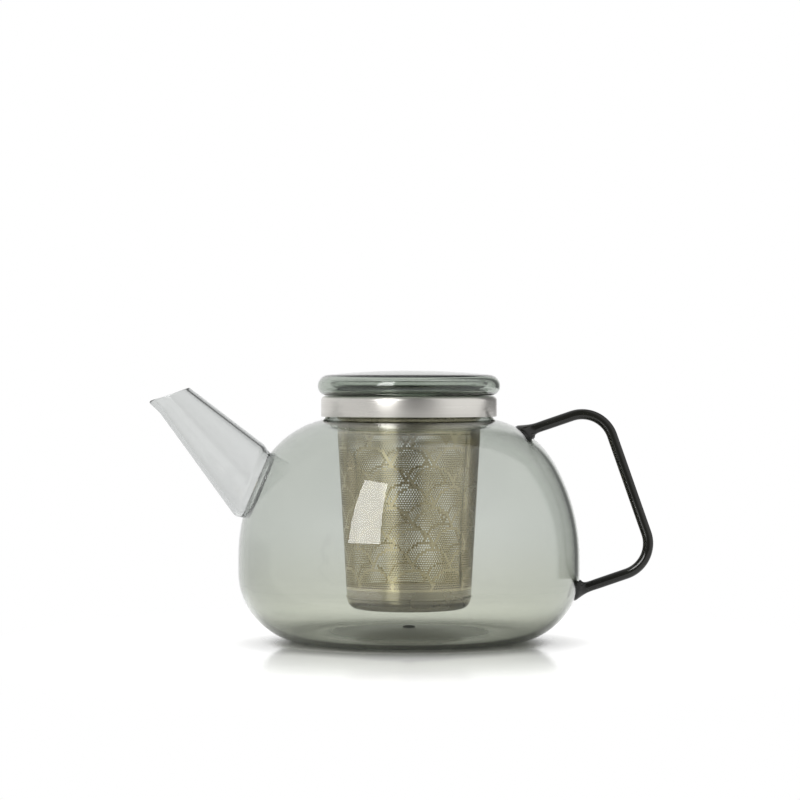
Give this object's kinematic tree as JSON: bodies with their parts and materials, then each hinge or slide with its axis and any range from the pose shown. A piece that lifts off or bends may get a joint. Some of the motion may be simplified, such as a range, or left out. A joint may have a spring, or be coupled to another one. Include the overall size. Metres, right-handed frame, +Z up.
{
  "type": "glass teapot with infuser",
  "caption": "Squat blown-glass teapot with a fused spout, a dark glass rod handle, a lift-out perforated steel infuser with a wide collar, and a hollow glass lid.",
  "frame": {"origin": "centre of the ring that the pot stands on, on the pot's axis, at table height", "axes": "+Z up along the pot's axis, +X towards the handle, -X towards the spout, Y across"},
  "size_m": [0.2208, 0.15, 0.1193],
  "materials": {
    "bowl_glass": "clear smoky green-grey borosilicate glass",
    "spout_glass": "clear pale grey borosilicate glass",
    "handle_glass": "near-black solid glass rod",
    "lid_glass": "clear smoky grey borosilicate glass",
    "steel": "brushed stainless steel sheet",
    "silicone": "soft translucent grey silicone"
  },
  "bodies": {
    "pot": {"pot_body": "bowl_glass", "spout": "spout_glass", "handle": "handle_glass"},
    "neck_ring": {"neck_seal": "silicone"},
    "infuser": {"infuser_collar": "steel", "infuser_sleeve": "steel", "infuser_base": "steel"},
    "lid_ring": {"lid_seal": "silicone"},
    "lid": {"lid_dome": "lid_glass", "lid_plug": "lid_glass"}
  },
  "joints": [
    {"name": "infuser_lift", "type": "slide", "parent": "pot", "child": "neck_ring", "axis": [0, 0, 1], "range_m": [0, 0.12]},
    {"name": "infuser_turn", "type": "hinge", "parent": "neck_ring", "child": "infuser", "pos_m": [0, 0, 0.108], "axis": [0, 0, 1], "continuous": true},
    {"name": "lid_lift", "type": "slide", "parent": "infuser", "child": "lid_ring", "axis": [0, 0, 1], "range_m": [0, 0.05]},
    {"name": "lid_turn", "type": "hinge", "parent": "lid_ring", "child": "lid", "pos_m": [0, 0, 0.108], "axis": [0, 0, 1], "continuous": true}
  ]
}
